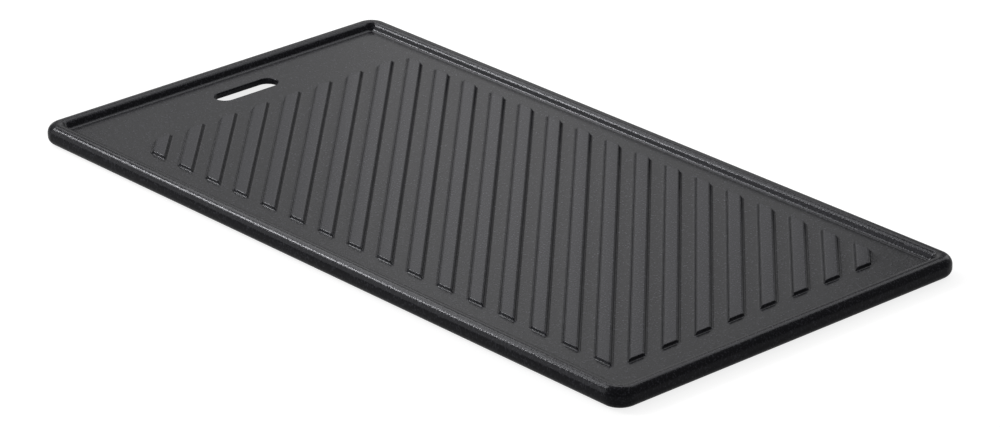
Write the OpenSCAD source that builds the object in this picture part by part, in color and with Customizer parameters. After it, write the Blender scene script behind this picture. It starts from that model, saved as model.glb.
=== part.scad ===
// Camp griddle plate, one casting. Origin on the resting plane below the middle of the plate,
// +X towards the plain end, +Y across the plate, +Z up. The lifting slot is at the -X end.
// All lengths are in millimetres.

/* [Plate] */
// Overall length, along X
plate_l = 415; // [380:1:480]
// Overall width, along Y
plate_w = 215; // [190:1:260]
// Overall height, from the resting ring to the top of the rim
plate_h = 10; // [9.2:0.1:14]
// Plan radius of the four outer corners
corner_r = 10; // [6:0.5:25]
// Radius that rounds the rim's outer edge above
top_edge_r = 4.6; // [1:0.1:5]
// Radius that rounds the rim's outer edge below
bottom_edge_r = 3.9; // [1:0.1:4]

/* [Tray] */
// Width of the flat on top of the rim
rim_flat = 0.45; // [0.2:0.05:4]
// How far the rim's inner slope runs from its top to the tray's floor
wall_run = 5.9; // [5.2:0.1:8]
// Share of that slope's curve that is rounded, the rest being hollow
wall_round = 0.63; // [0.4:0.01:0.7]
// Depth of the tray, from the top of the rim to its floor
tray_depth = 3.7; // [3:0.1:5]
// Plan radius of the corners of the tray's floor
tray_corner_r = 0.6; // [0.4:0.1:6]

/* [Web and underside] */
// Thickness of the web between the tray's floor and the underside
web_t = 3.3; // [2.5:0.1:4.5]
// Width of the resting ring, from the plate's side to the underside's wall
base_ring_w = 9.3; // [8.5:0.1:14]
// Plan radius of the underside recess's corners
base_corner_r = 5; // [3:0.5:12]
// Radius that rounds the resting ring's inner edge
base_lip_r = 1; // [0.3:0.1:1.2]

/* [Ribs] */
// Height of the ribs above the tray's floor
rib_h = 1.6; // [1:0.1:2]
// Width of a rib's flat top
rib_top_w = 4.7; // [3:0.1:6]
// How far each long side of a rib runs out from its top to its foot
rib_side_run = 2.35; // [2.1:0.05:2.9]
// How far each end of a rib runs out from its top to its foot
rib_end_run = 1.65; // [1.65:0.05:2.9]
// Share of each slope's curve that is rounded, the rest being hollow
rib_round = 0.45; // [0.3:0.01:0.6]
// Spacing of the ribs, square to their length
rib_pitch = 14.6; // [12.5:0.1:20]
// Angle between a rib and the plate's length
rib_angle = 44.1; // [30:0.1:60]
// Floor left plain between the ribs and each long wall
side_land = 10.15; // [6:0.05:30]
// Floor left plain between the ribs and the end wall away from the slot
end_land = 14.15; // [6:0.05:40]
// Floor left plain between the ribs and the end wall beside the slot
slot_land = 38.95; // [36:0.05:80]

/* [Lifting slot] */
// Length of the slot, across the plate
slot_l = 37.4; // [26:0.1:70]
// Width of the slot
slot_w = 10.7; // [8:0.1:14]
// Distance from the end of the tray's floor to the slot's centre line
slot_inset = 17.35; // [12:0.05:22]
// Radius that rounds the slot's edges
slot_lip_r = 0.8; // [0.3:0.1:1]

/* [Hidden] */
$fn = 64;
// Extra reach of a cutting body past the face that it opens
cut_over = 1;
// How far a lip's arc passes the face beside it, so that it crosses the face cleanly
lip_rise = 0.03;
// How much larger the arcs of an S-shaped side are drawn, so that they cross each other and the flats cleanly
arc_over = 0.01;
// How deep the ribs are rooted in the web
rib_root = 0.8;
// Height of the tray's floor
floor_z = plate_h - tray_depth;
// Height of the web's underside, which is also the depth of the recess below
web_z = floor_z - web_t;
// Width of the whole rim and plan size of the tray's floor
rim_w = top_edge_r + rim_flat + wall_run;
tray_l = plate_l - 2 * rim_w;
tray_w = plate_w - 2 * rim_w;
// End slopes of the ribs are never steeper than upright, and turn the corners of the rib rectangle in plan
rib_end = max(rib_end_run, rib_h);
rib_corner_r = rib_end + tray_corner_r;
// Fillet between the recess's wall and the web, limited by the recess's depth
base_fillet_r = min(1.5, 0.5 * web_z);
// Rounding of the resting ring's inner edge, limited by the recess's depth
base_round_r = min(base_lip_r, 0.4 * web_z);
// Rectangle that the feet of the ribs fill
rib_x0 = -tray_l / 2 + slot_land;
rib_x1 = tray_l / 2 - end_land;
rib_y = tray_w / 2 - side_land;
rib_mid_x = (rib_x0 + rib_x1) / 2;
// Spacing along X, the rectangle's reach along X with its corners slid along the ribs, and the count
rib_step = rib_pitch / sin(rib_angle);
rib_reach = rib_x1 - rib_x0 + 2 * rib_y / tan(rib_angle);
rib_n = floor(rib_reach / rib_step);
// Long enough to cross the rectangle at any angle
rib_len = rib_x1 - rib_x0 + 2 * rib_y;

// Half section of a block, from its corner axis out to its side at x = r, with rounded outer edges
module rounded_section(r, h, low_r, high_r) {
    intersection() {
        square([r, h]);
        union() {
            translate([0, low_r]) square([r, h - low_r - high_r]);
            square([r - low_r, h]);
            translate([0, low_r]) square([r - high_r, h - low_r]);
            translate([r - low_r, low_r]) circle(low_r);
            translate([r - high_r, h - high_r]) circle(high_r);
        }
    }
}

// Half section of a raised form, from its middle at x = 0 out to its foot on y = 0, with a root below.
// Its flat top reaches to x = half_w. Its side is S-shaped, a round above and a hollow below, which meet
// where both lean by turn. share is the round's part of the sum of both radii.
module s_section(half_w, rise, run, share, root) {
    turn = 2 * atan(rise / run);
    radii = (rise * rise + run * run) / (2 * rise);
    round_r = share * radii;
    hollow_r = radii - round_r;
    join_y = hollow_r * (1 - cos(turn));
    difference() {
        intersection() {
            translate([0, -root]) square([half_w + run, rise + root]);
            union() {
                translate([0, -root]) square([half_w, rise + root]);
                translate([0, -root]) square([half_w + run, join_y + root]);
                translate([half_w, rise - round_r]) circle(round_r + arc_over);
            }
        }
        translate([half_w + run, hollow_r]) circle(hollow_r + arc_over);
    }
}

// Half section of a cutter that sinks from y = 0 at a face to y = -depth, with its side at x = r.
// The floor edge has a fillet and the mouth flares into a rounded lip.
module pocket_section(r, depth, fillet_r, lip_r) {
    difference() {
        union() {
            translate([0, -depth + fillet_r]) square([r, depth - fillet_r + cut_over]);
            translate([0, -depth]) square([r - fillet_r, depth]);
            intersection() {
                translate([0, -depth]) square([r, depth]);
                translate([r - fillet_r, -depth + fillet_r]) circle(fillet_r);
            }
            translate([0, lip_rise - lip_r]) square([r + lip_r, lip_r + cut_over]);
        }
        translate([r + lip_r, lip_rise - lip_r]) circle(lip_r);
    }
}

// Half section of a cutter that goes through from y = -depth to y = 0, with a rounded lip at both faces
module through_section(r, depth, lip_r) {
    difference() {
        translate([0, -depth - cut_over]) square([r + lip_r, depth + 2 * cut_over]);
        translate([r, lip_r - lip_rise - depth]) square([lip_r + cut_over, depth - 2 * lip_r + 2 * lip_rise]);
        translate([r + lip_r, lip_rise - lip_r]) circle(lip_r);
        translate([r + lip_r, lip_r - lip_rise - depth]) circle(lip_r);
    }
}

// Carries a half section round a rectangle of l by w with plan corners of radius r.
// The section reaches from y = low to y = high at its corner axis.
module sweep_block(l, w, r, low, high) {
    core_l = l - 2 * r;
    core_w = w - 2 * r;
    for (turn = [0:3]) {
        sx = turn == 0 || turn == 3 ? 1 : -1;
        sy = turn < 2 ? 1 : -1;
        translate([sx * core_l / 2, sy * core_w / 2, 0])
            rotate([0, 0, 90 * turn]) rotate_extrude(angle = 90) children();
    }
    if (core_w > 0)
        for (side = [0, 180])
            rotate([0, 0, side]) translate([core_l / 2, core_w / 2, 0])
                rotate([90, 0, 0]) linear_extrude(core_w) children();
    if (core_l > 0)
        for (side = [0, 180])
            rotate([0, 0, side]) translate([-core_l / 2, core_w / 2, 0])
                rotate([90, 0, 90]) linear_extrude(core_l) children();
    if (core_l > 0 && core_w > 0)
        translate([-core_l / 2, -core_w / 2, low]) cube([core_l, core_w, high - low]);
}

// Outer body with its rounded sides
module casting_slab() {
    sweep_block(plate_l, plate_w, corner_r, 0, plate_h)
        rounded_section(corner_r, plate_h, bottom_edge_r, top_edge_r);
}

// Cutter for the cooking tray, an upturned mound that stands on the rim's top
module tray_pocket() {
    translate([0, 0, plate_h])
        sweep_block(tray_l, tray_w, tray_corner_r, -tray_depth, cut_over)
            mirror([0, 1]) s_section(tray_corner_r, tray_depth, wall_run, 1 - wall_round, cut_over);
}

// Cutter for the shallow recess under the web
module base_recess() {
    mirror([0, 0, 1])
        sweep_block(plate_l - 2 * base_ring_w, plate_w - 2 * base_ring_w, base_corner_r, -web_z, cut_over)
            pocket_section(base_corner_r, web_z, base_fillet_r, base_round_r);
}

// Cutter for the slot, a stadium through the web
module lifting_slot() {
    translate([-tray_l / 2 + slot_inset, 0, floor_z])
        sweep_block(slot_w, slot_l, slot_w / 2, -web_t - cut_over, cut_over)
            through_section(slot_w / 2, web_t, slot_lip_r);
}

// Section of a rib
module rib_section() {
    for (side = [0, 1])
        mirror([side, 0]) s_section(rib_top_w / 2, rib_h, rib_side_run, rib_round, rib_root);
}

// Mound over the whole rib rectangle, whose slopes trim the ends of the ribs
module rib_mound() {
    translate([rib_mid_x, 0, 0])
        sweep_block(rib_x1 - rib_x0, 2 * rib_y, rib_corner_r, -rib_root, rib_h)
            s_section(rib_corner_r - rib_end, rib_h, rib_end, rib_round, rib_root);
}

// Slanting ribs, centred on their rectangle and cut off along its sides
module rib_field() {
    translate([0, 0, floor_z]) intersection() {
        rib_mound();
        for (i = [0:rib_n - 1])
            translate([rib_mid_x + (i - (rib_n - 1) / 2) * rib_step, 0, 0])
                rotate([0, 0, -rib_angle]) translate([-rib_len / 2, 0, 0])
                    rotate([90, 0, 90]) linear_extrude(rib_len) rib_section();
    }
}

// The whole casting: slab, tray, recess, slot and ribs
module griddle_plate() {
    color("#46474a") {
        difference() {
            casting_slab();
            tray_pocket();
            base_recess();
            lifting_slot();
        }
        rib_field();
    }
}

griddle_plate();
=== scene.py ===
"""Camp griddle plate: one coated casting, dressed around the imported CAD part.

The plate is modelled as a single closed skin in five steps: the rounded rim, the sunken tray, the recess
below, the lifting slot and the slanting ribs. All lengths in the classes are millimetres.
"""

import logging
import math
from dataclasses import dataclass, field
from enum import Enum
from functools import cached_property
from typing import Any, Callable, Sequence

import bmesh
import bpy
from mathutils import Matrix, Vector


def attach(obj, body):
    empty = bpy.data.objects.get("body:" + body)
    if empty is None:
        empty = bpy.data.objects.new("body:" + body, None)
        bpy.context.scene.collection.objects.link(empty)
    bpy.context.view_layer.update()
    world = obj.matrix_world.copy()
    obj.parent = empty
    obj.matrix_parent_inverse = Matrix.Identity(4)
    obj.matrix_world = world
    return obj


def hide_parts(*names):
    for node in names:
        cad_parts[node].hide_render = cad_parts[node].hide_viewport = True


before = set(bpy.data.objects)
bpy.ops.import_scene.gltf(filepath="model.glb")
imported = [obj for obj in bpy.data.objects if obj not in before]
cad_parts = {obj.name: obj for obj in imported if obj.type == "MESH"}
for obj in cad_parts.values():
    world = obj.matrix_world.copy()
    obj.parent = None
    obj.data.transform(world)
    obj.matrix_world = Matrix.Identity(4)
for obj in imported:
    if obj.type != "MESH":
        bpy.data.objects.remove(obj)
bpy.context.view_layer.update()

LOG = logging.getLogger("griddle")
PLATE_NODE = "griddle_plate"
WHITE = "#ffffff"
# One millimetre in Blender's metres
MM = 0.001
# Points nearer to each other than this, in metres, count as one, and along a cut only if nearer still
TOUCH = 1e-6
CUT_TOUCH = 1e-7
# Sockets of a Mix node that mixes colours, by number because their names repeat
MIX_SHARE = 0
MIX_FIRST = 6
MIX_SECOND = 7
MIX_RESULT = 2

# A point of a section or of the plan
Point = tuple[float, float]
# Where a fade starts and where it is full
Fade = tuple[float, float]
# A test that says whether a vertex, edge or face is wanted
Test = Callable[[Any], bool]


# Small helpers


def linear(hex_colour: str) -> tuple[float, float, float, float]:
    """Turn an sRGB hex colour into Blender's linear colour.

    Args:
        hex_colour: A colour such as "#3a3b3d".

    Returns:
        Red, green, blue and alpha, each from 0 to 1.
    """
    values = [int(hex_colour[i : i + 2], 16) / 255 for i in (1, 3, 5)]
    bent = [v / 12.92 if v <= 0.04045 else ((v + 0.055) / 1.055) ** 2.4 for v in values]
    return (*bent, 1.0)


def add_node(
    tree: bpy.types.NodeTree,
    kind: str,
    settings: dict[str, Any] | None = None,
    inputs: dict[str | int, Any] | None = None,
) -> bpy.types.Node:
    """Add one shader node.

    Args:
        tree: The node tree that takes it.
        kind: Blender's name for the kind of node.
        settings: The node's own properties.
        inputs: Values or output sockets by input name or number. A socket is linked.

    Returns:
        The new node.
    """
    node = tree.nodes.new(kind)
    for name, value in (settings or {}).items():
        setattr(node, name, value)
    for name, value in (inputs or {}).items():
        if isinstance(value, bpy.types.NodeSocket):
            tree.links.new(value, node.inputs[name])
        else:
            node.inputs[name].default_value = value
    return node


def new_material(name: str) -> bpy.types.Material:
    """Make a material whose node tree is empty.

    Args:
        name: The material's name.

    Returns:
        The new material.
    """
    material = bpy.data.materials.new(name)
    material.use_nodes = True
    material.node_tree.nodes.clear()
    return material


class Part(Enum):
    """A part of a mesh that can be selected."""

    VERT = "VERT"
    EDGE = "EDGE"
    FACE = "FACE"


def deselect_all() -> None:
    """Leave edit mode, with nothing selected."""
    if bpy.context.object and bpy.context.object.mode != "OBJECT":
        bpy.ops.object.mode_set(mode="OBJECT")
    bpy.ops.object.select_all(action="DESELECT")


def draw_line(spots: Sequence[Vector]) -> bpy.types.Object:
    """Draw a line of joined points, and leave it selected in edit mode.

    Args:
        spots: The points in metres.

    Returns:
        The new object.
    """
    deselect_all()
    bpy.ops.mesh.primitive_plane_add(size=MM)
    line = bpy.context.object
    bpy.ops.object.mode_set(mode="EDIT")
    bpy.ops.mesh.select_mode(type=Part.VERT.value)
    bpy.ops.mesh.select_all(action="SELECT")
    bpy.ops.mesh.merge(type="CENTER")
    bpy.ops.transform.translate(value=spots[0])
    for before, after in zip(spots, spots[1:]):
        bpy.ops.mesh.extrude_region_move(TRANSFORM_OT_translate={"value": after - before})
    bpy.ops.mesh.select_all(action="SELECT")
    return line


def select_where(obj: bpy.types.Object, part: Part, test: Test) -> None:
    """Select the vertices, edges or faces that pass a test, and nothing else.

    Args:
        obj: The mesh object, in edit mode.
        part: What is selected.
        test: Says whether one of them is wanted.
    """
    bpy.ops.mesh.select_mode(type=part.value)
    bpy.ops.mesh.select_all(action="DESELECT")
    mesh = bmesh.from_edit_mesh(obj.data)
    for item in {Part.VERT: mesh.verts, Part.EDGE: mesh.edges, Part.FACE: mesh.faces}[part]:
        if test(item):
            item.select_set(True)
    mesh.select_flush_mode()
    bmesh.update_edit_mesh(obj.data)


def open_edge_at(height: float, wanted: Callable[[Vector], bool] | None = None) -> Test:
    """Make a test for open edges that lie level at one height.

    Args:
        height: The height in metres.
        wanted: A further test of the edge's middle, where not all of them are wanted.

    Returns:
        The test.
    """

    def test(edge: bmesh.types.BMEdge) -> bool:
        """Say whether an edge is open, level at the height and wanted.

        Args:
            edge: The edge.

        Returns:
            True where it is all of these.
        """
        ends = [vert.co for vert in edge.verts]
        level = all(abs(end.z - height) < TOUCH for end in ends)
        return level and edge.is_boundary and (wanted is None or wanted((ends[0] + ends[1]) / 2))

    return test


# Finishes


@dataclass(frozen=True)
class Grain:
    """A noise pattern, with the size of its spots and the number and strength of its finer layers."""

    size: float
    detail: float
    roughness: float


@dataclass(frozen=True)
class CoatedCasting:
    """Cast aluminium sprayed with a dark non-stick coat and baked.

    The coat is a satin charcoal film with a fine grit. Flats look evenly grey, and every rounded edge breaks
    the light into sparks. The rib tops carry painted light: a shade paler, as raised level faces catch more
    light.
    The real grit is finer than a picture of the whole plate can show, so it is drawn coarser.
    """

    # Height of the rib tops
    top_z: float
    name: str = "baked_nonstick_coat_on_cast_aluminium"
    # The film's two shades, the wide clouds in which they change, the tint of its sheen, and its gloss
    deep: str = "#09090d"
    pale: str = "#0e0e12"
    cloud: Grain = Grain(40.0, 3.0, 0.5)
    sheen: str = "#f6f7ff"
    roughness: float = 0.2
    ior: float = 1.26
    # The grit and its depth, its pale flecks, and the strength of the grit at which they fade in
    grit: Grain = Grain(1.0, 2.0, 0.6)
    grit_depth: float = 0.06
    fleck: str = "#37373d"
    fleck_fade: Fade = (0.5, 0.75)
    # The painted light on the rib tops, a paler shade, and how far below and above the rib tops it fades in
    painted_top_light: str = "#1e1e23"
    top_light_below: Fade = (0.3, 0.05)
    top_light_above: Fade = (0.4, 0.2)
    # How level a surface has to be for the painted top light to fade in, with 1 for quite level
    top_light_level: Fade = (0.9, 0.98)

    def material(self) -> bpy.types.Material:
        """Build the material.

        Returns:
            The new material.
        """
        material = new_material(self.name)
        tree = material.node_tree
        place = add_node(tree, "ShaderNodeTexCoord")
        cloud, grit = (
            add_node(
                tree,
                "ShaderNodeTexNoise",
                {"noise_dimensions": "3D"},
                {
                    "Vector": place.outputs["Object"],
                    "Scale": 1 / (grain.size * MM),
                    "Detail": grain.detail,
                    "Roughness": grain.roughness,
                },
            ).outputs["Fac"]
            for grain in (self.cloud, self.grit)
        )
        top_light_share, flecks = self.shares(tree, place, grit)
        colour: Any = linear(self.deep)
        # The second mix paints light on the rib tops: a paler shade where raised level faces catch more light
        for share, shade in ((cloud, self.pale), (top_light_share, self.painted_top_light), (flecks, self.fleck)):
            colour = add_node(
                tree,
                "ShaderNodeMix",
                {"data_type": "RGBA"},
                {MIX_SHARE: share, MIX_FIRST: colour, MIX_SECOND: linear(shade)},
            ).outputs[MIX_RESULT]
        bump = add_node(
            tree, "ShaderNodeBump", inputs={"Height": grit, "Distance": self.grit_depth * MM, "Strength": 1.0}
        )
        shader = add_node(
            tree,
            "ShaderNodeBsdfPrincipled",
            inputs={
                "Base Color": colour,
                "Roughness": self.roughness,
                "IOR": self.ior,
                "Specular Tint": linear(self.sheen),
                "Normal": bump.outputs["Normal"],
            },
        )
        add_node(tree, "ShaderNodeOutputMaterial", inputs={"Surface": shader.outputs["BSDF"]})
        return material

    def shares(
        self, tree: bpy.types.NodeTree, place: bpy.types.Node, grit: bpy.types.NodeSocket
    ) -> tuple[bpy.types.NodeSocket, bpy.types.NodeSocket]:
        """Add how much of the film gets the painted light of the rib tops, and how much of it is a fleck.

        The painted light falls where a surface is level and near the height of the rib tops.

        Args:
            tree: The node tree that takes the nodes.
            place: Its Texture Coordinate node.
            grit: The socket of the grit's pattern.

        Returns:
            The sockets of the rubbed share and of the flecks' share, each from 0 to 1.
        """
        height, lean = (
            add_node(tree, "ShaderNodeSeparateXYZ", inputs={"Vector": place.outputs[name]}).outputs["Z"]
            for name in ("Object", "Normal")
        )
        high_enough, low_enough, level_enough, flecks = (
            add_node(
                tree,
                "ShaderNodeMapRange",
                {"interpolation_type": "SMOOTHSTEP"},
                {"Value": value, "From Min": start, "From Max": full},
            ).outputs["Result"]
            for value, start, full in (
                (height, *((self.top_z - gap) * MM for gap in self.top_light_below)),
                (height, *((self.top_z + gap) * MM for gap in self.top_light_above)),
                (lean, *self.top_light_level),
                (grit, *self.fleck_fade),
            )
        )
        # Painted light on the rib tops: high enough, low enough and level enough
        top_light_share = high_enough
        for share in (low_enough, level_enough):
            top_light_share = add_node(tree, "ShaderNodeMath", {"operation": "MULTIPLY"}, {0: top_light_share, 1: share}).outputs[0]
        return top_light_share, flecks


@dataclass(frozen=True)
class StudioPaper:
    """Pale matt studio paper, seen as the white behind the picture, with the plate's soft shadow on it.

    The plate's sides mirror it as grey, so that they stay dark.
    """

    name: str = "pale_studio_paper"
    colour: str = "#989898"
    glow: float = 0.82
    mirrored_glow: float = 0.25

    def material(self) -> bpy.types.Material:
        """Build the material.

        Returns:
            The new material.
        """
        material = new_material(self.name)
        tree = material.node_tree
        rays = add_node(tree, "ShaderNodeLightPath")
        glow: Any = 0.0
        for ray, strength in (
            ("Is Camera Ray", self.glow),
            ("Is Transmission Ray", self.glow),
            ("Is Glossy Ray", self.mirrored_glow),
        ):
            glow = add_node(
                tree,
                "ShaderNodeMath",
                {"operation": "MULTIPLY_ADD"},
                {0: rays.outputs[ray], 1: strength, 2: glow},
            ).outputs[0]
        paper = add_node(tree, "ShaderNodeBsdfDiffuse", inputs={"Color": linear(self.colour)})
        light = add_node(tree, "ShaderNodeEmission", inputs={"Color": linear(WHITE), "Strength": glow})
        both = add_node(tree, "ShaderNodeAddShader", inputs={0: paper.outputs[0], 1: light.outputs[0]})
        add_node(tree, "ShaderNodeOutputMaterial", inputs={"Surface": both.outputs[0]})
        return material


# Sections


def arc(centre: Point, radius: float, start: float, end: float, steps: int) -> list[Point]:
    """Points of an arc in a section.

    Args:
        centre: The arc's centre.
        radius: Its radius.
        start: The first angle in degrees, from the first axis.
        end: The last angle.
        steps: How many chords it has.

    Returns:
        The points, both ends included.
    """
    points = []
    for i in range(steps + 1):
        angle = math.radians(start + (end - start) * i / steps)
        points.append((centre[0] + radius * math.cos(angle), centre[1] + radius * math.sin(angle)))
    return points


@dataclass(frozen=True)
class Ogee:
    """An S-shaped slope: a round above that turns into a hollow below, with no flat between them.

    It falls by rise over run. The round has this share of the sum of both radii.
    """

    rise: float
    run: float
    share: float

    @property
    def radii(self) -> float:
        """Sum of both radii."""
        return (self.rise**2 + self.run**2) / (2 * self.rise)

    @property
    def round_r(self) -> float:
        """Radius of the round above."""
        return self.share * self.radii

    @property
    def hollow_r(self) -> float:
        """Radius of the hollow below."""
        return self.radii - self.round_r

    @property
    def turn(self) -> float:
        """Steepest slope in radians."""
        return 2 * math.atan2(self.rise, self.run)

    def height(self, out: float) -> float:
        """Height of the slope above its foot.

        Args:
            out: Plan distance from the foot towards the top, clamped to the slope.

        Returns:
            The height, from 0 at the foot to rise at the top.
        """
        out = min(max(out, 0.0), self.run)
        join = self.hollow_r * math.sin(self.turn)
        if out <= join:
            return self.hollow_r - math.sqrt(self.hollow_r**2 - out**2)
        back = self.run - out
        return self.rise - self.round_r + math.sqrt(self.round_r**2 - back**2)

    def stations(self, steps: int) -> list[float]:
        """Plan distances from the foot at which the slope is cut into strips.

        Args:
            steps: Strips in each of the two arcs.

        Returns:
            The distances, foot and top included.
        """
        low = [self.hollow_r * math.sin(self.turn * i / steps) for i in range(steps + 1)]
        high = [self.run - self.round_r * math.sin(self.turn * i / steps) for i in range(steps)]
        return low + high[::-1]


# The plate


@dataclass
class GriddlePlate:
    """The whole casting, as one closed skin. The slot is at its -X end."""

    name: str = "coated_griddle_casting"
    # Overall size, and the plan radius of the outer corners
    length: float = 415.0
    width: float = 215.0
    height: float = 10.0
    corner_r: float = 10.0
    # The rim, with the rounds of its outer edge above and below and the flat on its top
    top_edge_r: float = 4.6
    bottom_edge_r: float = 3.9
    rim_flat: float = 0.45
    # The tray, with the run and the rounded share of its wall and the plan radius of its floor's corners
    tray_depth: float = 3.7
    wall_run: float = 5.9
    wall_round: float = 0.63
    tray_corner_r: float = 0.6
    # The web, and the ring below it that the plate rests on, with the rounding of its inner side
    web_t: float = 3.3
    base_ring_w: float = 9.3
    base_corner_r: float = 5.0
    base_lip_r: float = 1.0
    base_fillet_r: float = 1.5
    # The lifting slot, its distance from the end of the tray's floor, and the rounding of its edges
    slot_l: float = 37.4
    slot_w: float = 10.7
    slot_inset: float = 17.35
    slot_lip_r: float = 0.8
    # Open edges no further than this from the slot's mouth are the slot's
    slot_margin: float = 0.5
    # The ribs' section, their spacing square to their length, and their angle to the plate's length
    rib_h: float = 1.6
    rib_top_w: float = 4.7
    rib_side_run: float = 2.35
    rib_end_run: float = 1.65
    rib_round: float = 0.45
    rib_pitch: float = 14.6
    rib_angle: float = 44.1
    # Floor left plain along the sides, at the far end and at the slot's end
    side_land: float = 10.15
    end_land: float = 14.15
    slot_land: float = 38.95
    # Strips round a corner and in each arc of a section
    corner_steps: int = 12
    top_edge_steps: int = 10
    bottom_edge_steps: int = 8
    wall_steps: int = 8
    lip_steps: int = 4
    fillet_steps: int = 5
    rib_steps: int = 3
    obj: bpy.types.Object = field(init=False)

    # Derived sizes, each worked out once

    @cached_property
    def floor_z(self) -> float:
        """Height of the tray's floor."""
        return self.height - self.tray_depth

    @cached_property
    def web_z(self) -> float:
        """Height of the web's underside."""
        return self.floor_z - self.web_t

    @cached_property
    def rib_top_z(self) -> float:
        """Height of the rib tops."""
        return self.floor_z + self.rib_h

    @cached_property
    def rim_w(self) -> float:
        """Distance from the plate's side to the tray's floor."""
        return self.top_edge_r + self.rim_flat + self.wall_run

    @cached_property
    def tray_reach(self) -> Point:
        """Distances from the plate's middle to the end and to the side of the tray's floor."""
        return self.length / 2 - self.rim_w, self.width / 2 - self.rim_w

    @cached_property
    def slot_x(self) -> float:
        """Place of the slot along the plate."""
        return self.slot_inset - self.tray_reach[0]

    @cached_property
    def rib_x0(self) -> float:
        """Place along the plate where the ribs' rectangle starts."""
        return self.slot_land - self.tray_reach[0]

    @cached_property
    def rib_x1(self) -> float:
        """Place along the plate where the ribs' rectangle ends."""
        return self.tray_reach[0] - self.end_land

    @cached_property
    def rib_y(self) -> float:
        """Half width of the ribs' rectangle."""
        return self.tray_reach[1] - self.side_land

    @cached_property
    def rib_foot(self) -> float:
        """Half width of a rib at its foot."""
        return self.rib_top_w / 2 + self.rib_side_run

    @cached_property
    def rib_square(self) -> Point:
        """Plan direction square to the ribs."""
        angle = math.radians(self.rib_angle)
        return math.sin(angle), math.cos(angle)

    @cached_property
    def wall(self) -> Ogee:
        """The slope from the rim down into the tray."""
        return Ogee(self.tray_depth, self.wall_run, self.wall_round)

    @cached_property
    def rib_side(self) -> Ogee:
        """The slope along a rib."""
        return Ogee(self.rib_h, self.rib_side_run, self.rib_round)

    @cached_property
    def rib_end(self) -> Ogee:
        """The slope at the end of a rib."""
        return Ogee(self.rib_h, self.rib_end_run, self.rib_round)

    def rib_axes(self) -> list[float]:
        """Distances of the ribs' centre lines from the plate's middle, square to the ribs.

        Returns:
            The distances, from the slot's end on.
        """
        sine, cosine = self.rib_square
        middle = (self.rib_x0 + self.rib_x1) / 2 * sine
        reach = (self.rib_x1 - self.rib_x0) * sine + 2 * self.rib_y * cosine
        count = math.floor(reach / self.rib_pitch)
        return [middle + (i - (count - 1) / 2) * self.rib_pitch for i in range(count)]

    def rib_border(self, out: float) -> list[tuple[Point, Point]]:
        """Upright planes along the four sides of the ribs' rectangle.

        Args:
            out: Distance of the planes in from the rectangle's sides.

        Returns:
            A plan point and a plan direction for each plane, the slot's end first.
        """
        reach = self.rib_y - out
        return [
            ((self.rib_x0 + out, 0), (1, 0)),
            ((self.rib_x1 - out, 0), (1, 0)),
            ((0, reach), (0, 1)),
            ((0, -reach), (0, 1)),
        ]

    def rib_height(self, x: float, y: float) -> float:
        """Height of the ribs above the tray's floor at a plan point.

        Args:
            x: The point's place along the plate.
            y: Its place across the plate.

        Returns:
            The height, which is 0 between the ribs and outside their rectangle.
        """
        across = x * self.rib_square[0] + y * self.rib_square[1]
        nearest = min(abs(across - axis) for axis in self.rib_axes())
        share = self.rib_side.height(self.rib_foot - nearest) / self.rib_h
        for out in (x - self.rib_x0, self.rib_x1 - x, self.rib_y - y, self.rib_y + y):
            share *= self.rib_end.height(out) / self.rib_h
        return self.rib_h * share

    # Sections, as points of (distance in from the side, height)

    def outer_section(self) -> list[Point]:
        """Section from the rim's top over the outer side to the resting ring.

        Returns:
            The section's points.
        """
        top, low = self.top_edge_r, self.bottom_edge_r
        above = arc((top, self.height - top), top, 90, 180, self.top_edge_steps)
        below = arc((low, low), low, 180, 270, self.bottom_edge_steps)
        return above + below

    def tray_section(self) -> list[Point]:
        """Section from the rim's top down the wall to the tray's floor."""
        outs = reversed(self.wall.stations(self.wall_steps))
        return [(self.rim_w - out, self.floor_z + self.wall.height(out)) for out in outs]

    def recess_section(self) -> list[Point]:
        """Section from the resting ring up into the recess under the web.

        Returns:
            The section's points.
        """
        ring, lip, hollow = self.base_ring_w, self.base_lip_r, self.base_fillet_r
        low = arc((ring - lip, lip), lip, 270, 360, self.lip_steps)
        high = arc((ring + hollow, self.web_z - hollow), hollow, 180, 90, self.fillet_steps)
        return low + high

    def slot_section(self) -> list[Point]:
        """Section of the slot's wall, from the tray's floor to the web's underside.

        Returns:
            The section's points. Their distances are negative, because the wall's lips lie outside the slot.
        """
        lip = self.slot_lip_r
        high = arc((lip, self.floor_z - lip), lip, 90, 180, self.lip_steps)
        low = arc((lip, self.web_z + lip), lip, 180, 270, self.lip_steps)
        return [(-out, z) for out, z in high + low]

    # Tests of places and faces

    def off_slot(self, place: Vector) -> bool:
        """Say whether a place lies clear of the slot's mouth.

        Args:
            place: A point in metres.

        Returns:
            True where it is clear.
        """
        spare = self.slot_lip_r + self.slot_margin
        reach_x, reach_y = self.slot_w / 2 + spare, self.slot_l / 2 + spare
        return abs(place.x / MM - self.slot_x) >= reach_x or abs(place.y / MM) >= reach_y

    def on_floor(self, face: bmesh.types.BMFace) -> bool:
        """Say whether a face lies in the tray's floor."""
        floor = self.floor_z * MM
        return all(abs(vert.co.z - floor) < TOUCH for vert in face.verts)

    def in_plain_end(self, face: bmesh.types.BMFace) -> bool:
        """Say whether a face lies in the plain end of the floor, around the slot."""
        return self.on_floor(face) and face.calc_center_median().x < self.rib_x0 * MM

    def past_plain_end(self, face: bmesh.types.BMFace) -> bool:
        """Say whether a face lies in the rest of the floor."""
        return self.on_floor(face) and not self.in_plain_end(face)

    def in_ribs(self, face: bmesh.types.BMFace) -> bool:
        """Say whether a face lies in the floor within the ribs' rectangle.

        Args:
            face: The face.

        Returns:
            True where it does.
        """
        if not self.on_floor(face):
            return False
        middle = face.calc_center_median() / MM
        return self.rib_x0 < middle.x < self.rib_x1 and abs(middle.y) < self.rib_y

    # Modelling

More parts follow.
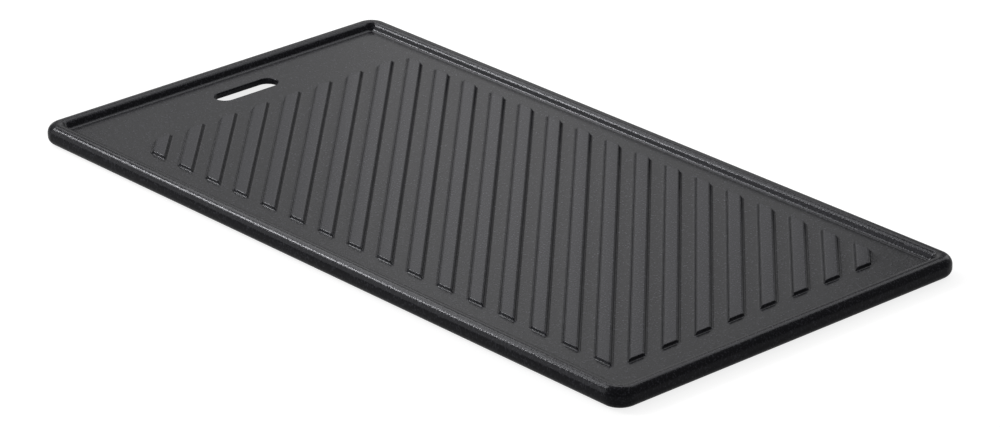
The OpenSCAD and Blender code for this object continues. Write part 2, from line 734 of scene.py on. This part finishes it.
    def sweep(
        self, section: Sequence[Point], size: Point, corner: float, centre_x: float = 0.0
    ) -> bpy.types.Object:
        """Draw a section and carry it round a rounded rectangle by spinning and extruding it.

        Args:
            section: Points of (distance in from the rectangle's side, height).
            size: Length and width of the rectangle.
            corner: Distance in from both sides at which the corners turn.
            centre_x: The rectangle's centre along the plate.

        Returns:
            The swept skin as an object.
        """
        half_l, half_w = size[0] / 2 - corner, size[1] / 2 - corner
        skin = draw_line([Vector((centre_x + half_l + corner - s, half_w, z)) * MM for s, z in section])
        corners = [(1, 1), (-1, 1), (-1, -1), (1, -1)]
        for (sx, sy), (next_sx, next_sy) in zip(corners, corners[1:] + corners[:1]):
            axis = Vector((centre_x + sx * half_l, sy * half_w, 0)) * MM
            bpy.ops.mesh.spin(steps=self.corner_steps, angle=-math.pi / 2, center=axis, axis=(0, 0, 1))
            side = Vector(((next_sx - sx) * half_l, (next_sy - sy) * half_w, 0)) * MM
            if side.length > TOUCH:
                bpy.ops.mesh.extrude_region_move(TRANSFORM_OT_translate={"value": side})
        bpy.ops.mesh.select_all(action="SELECT")
        bpy.ops.mesh.remove_doubles(threshold=TOUCH)
        bpy.ops.object.mode_set(mode="OBJECT")
        return skin

    def join_skins(self) -> None:
        """Sweep the four skins, join them and close the rim's top and the resting ring between them."""
        plate = (self.length, self.width)
        slot = (self.slot_w, self.slot_l)
        skins = [
            self.sweep(self.outer_section(), plate, self.corner_r),
            self.sweep(self.tray_section(), plate, self.rim_w + self.tray_corner_r),
            self.sweep(self.recess_section(), plate, self.base_ring_w + self.base_corner_r),
            self.sweep(self.slot_section(), slot, self.slot_w / 2, self.slot_x),
        ]
        deselect_all()
        for skin in skins:
            skin.select_set(True)
        bpy.context.view_layer.objects.active = skins[0]
        bpy.ops.object.join()
        self.obj = bpy.context.object
        self.obj.name = self.obj.data.name = self.name
        bpy.ops.object.mode_set(mode="EDIT")
        for z in (self.height, 0.0):
            select_where(self.obj, Part.EDGE, open_edge_at(z * MM))
            bpy.ops.mesh.fill(use_beauty=True)
            bpy.ops.mesh.tris_convert_to_quads()

    def cut(self, point: Point, normal: Point) -> None:
        """Cut the selected faces with the upright plane through a plan point, square to a plan direction."""
        spot = Vector((*point, 0)) * MM
        bpy.ops.mesh.bisect(plane_co=spot, plane_no=(*normal, 0), threshold=CUT_TOUCH, use_fill=False)

    def close_floor(self) -> None:
        """Fill the tray's floor and the web's underside, leaving the slot open."""
        select_where(self.obj, Part.EDGE, open_edge_at(self.floor_z * MM, self.off_slot))
        bpy.ops.mesh.edge_face_add()
        select_where(self.obj, Part.FACE, self.on_floor)
        self.cut(*self.rib_border(0.0)[0])
        select_where(self.obj, Part.FACE, self.in_plain_end)
        bpy.ops.mesh.delete(type="ONLY_FACE")
        for z in (self.floor_z, self.web_z):
            select_where(self.obj, Part.EDGE, open_edge_at(z * MM))
            bpy.ops.mesh.fill(use_beauty=True)

    def cut_ribs(self) -> None:
        """Cut the floor along the ribs' rectangle, and inside it along their feet, slopes and tops."""
        for plane in self.rib_border(0.0)[1:]:
            select_where(self.obj, Part.FACE, self.past_plain_end)
            self.cut(*plane)
        planes = []
        for out in self.rib_end.stations(self.rib_steps)[1:]:
            planes += self.rib_border(out)
        sine, cosine = self.rib_square
        for axis in self.rib_axes():
            for out in self.rib_side.stations(self.rib_steps):
                for side in (-1, 1):
                    across = axis + side * (self.rib_foot - out)
                    planes.append(((across * sine, across * cosine), self.rib_square))
        for plane in planes:
            select_where(self.obj, Part.FACE, self.in_ribs)
            self.cut(*plane)

    def lift_ribs(self) -> None:
        """Lift the cut floor into ribs."""
        mesh = bmesh.from_edit_mesh(self.obj.data)
        for vert in mesh.verts:
            if abs(vert.co.z - self.floor_z * MM) < TOUCH:
                vert.co.z += self.rib_height(vert.co.x / MM, vert.co.y / MM) * MM
        bmesh.update_edit_mesh(self.obj.data)

    def finish_skin(self) -> None:
        """Turn the faces outwards, shade them smooth and let the flats rule the shading."""
        bpy.ops.mesh.select_all(action="SELECT")
        bpy.ops.mesh.remove_doubles(threshold=CUT_TOUCH)
        bpy.ops.mesh.normals_make_consistent(inside=False)
        bpy.ops.object.mode_set(mode="OBJECT")
        bpy.ops.object.shade_smooth()
        weighted = self.obj.modifiers.new("flats_rule", "WEIGHTED_NORMAL")
        weighted.mode = "FACE_AREA"
        bpy.ops.object.modifier_apply(modifier=weighted.name)

    def build(self) -> bpy.types.Object:
        """Model the plate.

        Returns:
            The finished object.
        """
        self.join_skins()
        self.close_floor()
        self.cut_ribs()
        self.lift_ribs()
        self.finish_skin()
        return self.obj

    def dress(self, finish: CoatedCasting) -> None:
        """Give the plate its finish and its place in the frame.

        Args:
            finish: The coating.
        """
        self.obj.data.materials.append(finish.material())
        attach(self.obj, "root")
        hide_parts(PLATE_NODE)


# Studio


@dataclass(frozen=True)
class Lamp:
    """One rectangular softbox that faces the plate.

    Its azimuth goes from +X towards +Y, in degrees as its elevation is, and a radiance of 1 shows as white.
    """

    name: str
    azimuth: float
    elevation: float
    distance: float
    width: float
    height: float
    radiance: float

    def hang(self) -> None:
        """Put the lamp up at its bearing and turn it to the plate."""
        data = bpy.data.lights.new(self.name, "AREA")
        data.shape = "RECTANGLE"
        data.size, data.size_y = self.width * MM, self.height * MM
        data.energy = math.pi * self.radiance * data.size * data.size_y
        lamp = bpy.data.objects.new(self.name, data)
        bpy.context.scene.collection.objects.link(lamp)
        around, up = math.radians(self.azimuth), math.radians(self.elevation)
        way = Vector((math.cos(around) * math.cos(up), math.sin(around) * math.cos(up), math.sin(up)))
        lamp.location = way * self.distance * MM
        lamp.rotation_euler = way.to_track_quat("Z", "Y").to_euler()


@dataclass
class Studio:
    """Floor, lights and camera."""

    # The floor, which lies just under the plate so that the two don't share a plane
    floor_size: float = 30000.0
    floor_gap: float = 0.02
    # The camera's lens and sensor, and its angles in degrees, with the azimuth from -Y towards +X
    lens: float = 167.611
    sensor: float = 36.0
    azimuth: float = 48.344
    elevation: float = 23.665
    roll: float = -0.483
    # Its distance, how far right of and above the view's centre the plate's middle is, and how far it sees
    distance: float = 2208.154
    aim: Point = (-7.302, 3.663)
    sight: float = 100000.0
    # Strength of the even light from all around, and the lamps
    sky: float = 0.3
    lamps: tuple[Lamp, ...] = (
        Lamp("strip_left", 202.0, 40.0, 2600, 450, 130, 84.6),
        Lamp("strip_left_low", 202.0, 34.0, 2600, 450, 130, 20.1),
        Lamp("wall_left", 225.0, 20.0, 2000, 1200, 1200, 1.49),
        Lamp("boom_left", 190.0, 50.0, 2000, 700, 500, 5.72),
        Lamp("boom_back", 162.0, 42.0, 2000, 700, 500, 4.03),
        Lamp("boom_right", 115.0, 50.0, 2000, 1500, 750, 2.32),
        Lamp("softbox_back", 139.0, 23.0, 2500, 900, 900, 0.3),
        Lamp("panel_left", 144.0, 24.0, 1500, 450, 450, 0.3),
        Lamp("panel_right", 134.0, 24.0, 1500, 450, 450, 0.39),
        Lamp("fill_back", 98.0, 24.0, 2000, 700, 900, 1.5),
        Lamp("low_left", 158.0, 6.0, 2000, 700, 360, 0.45),
    )

    def floor(self) -> None:
        """Lay the paper under the plate."""
        deselect_all()
        bpy.ops.mesh.primitive_plane_add(size=self.floor_size * MM, location=(0, 0, -self.floor_gap * MM))
        paper = bpy.context.object
        paper.name = "studio_floor"
        paper.data.materials.append(StudioPaper().material())

    def lights(self) -> None:
        """Set the world and hang the lamps."""
        world = bpy.data.worlds.new("studio")
        bpy.context.scene.world = world
        world.use_nodes = True
        tree = world.node_tree
        tree.nodes.clear()
        air = add_node(tree, "ShaderNodeBackground", inputs={"Color": linear(WHITE), "Strength": self.sky})
        add_node(tree, "ShaderNodeOutputWorld", inputs={"Surface": air.outputs[0]})
        for lamp in self.lamps:
            lamp.hang()

    def camera(self) -> None:
        """Place the camera where the photograph was taken from."""
        azimuth, elevation, roll = (math.radians(v) for v in (self.azimuth, self.elevation, self.roll))
        flat = math.cos(elevation)
        back = Vector((math.sin(azimuth) * flat, -math.cos(azimuth) * flat, math.sin(elevation)))
        right = Vector((math.cos(azimuth), math.sin(azimuth), 0))
        up = back.cross(right)
        rolled_right = math.cos(roll) * right + math.sin(roll) * up
        rolled_up = math.cos(roll) * up - math.sin(roll) * right
        turn = Matrix((rolled_right, rolled_up, back)).transposed()
        place = turn @ Vector((-self.aim[0], -self.aim[1], self.distance))
        data = bpy.data.cameras.new("photo_view")
        data.sensor_width = self.sensor
        data.lens = self.lens
        data.clip_end = self.sight * MM
        cam = bpy.data.objects.new("photo_view", data)
        bpy.context.scene.collection.objects.link(cam)
        cam.matrix_world = Matrix.Translation(place * MM) @ turn.to_4x4()
        bpy.context.scene.camera = cam

    def build(self) -> None:
        """Build the whole studio."""
        self.floor()
        self.lights()
        self.camera()
        bpy.context.scene.view_settings.view_transform = "Standard"


def main() -> None:
    """Build the plate and the studio."""
    logging.basicConfig(level=logging.INFO, format="%(name)s: %(message)s")
    plate = GriddlePlate()
    piece = plate.build()
    plate.dress(CoatedCasting(plate.rib_top_z))
    LOG.info("%s: %d faces", piece.name, len(piece.data.polygons))
    Studio().build()


if __name__ == "__main__":
    main()
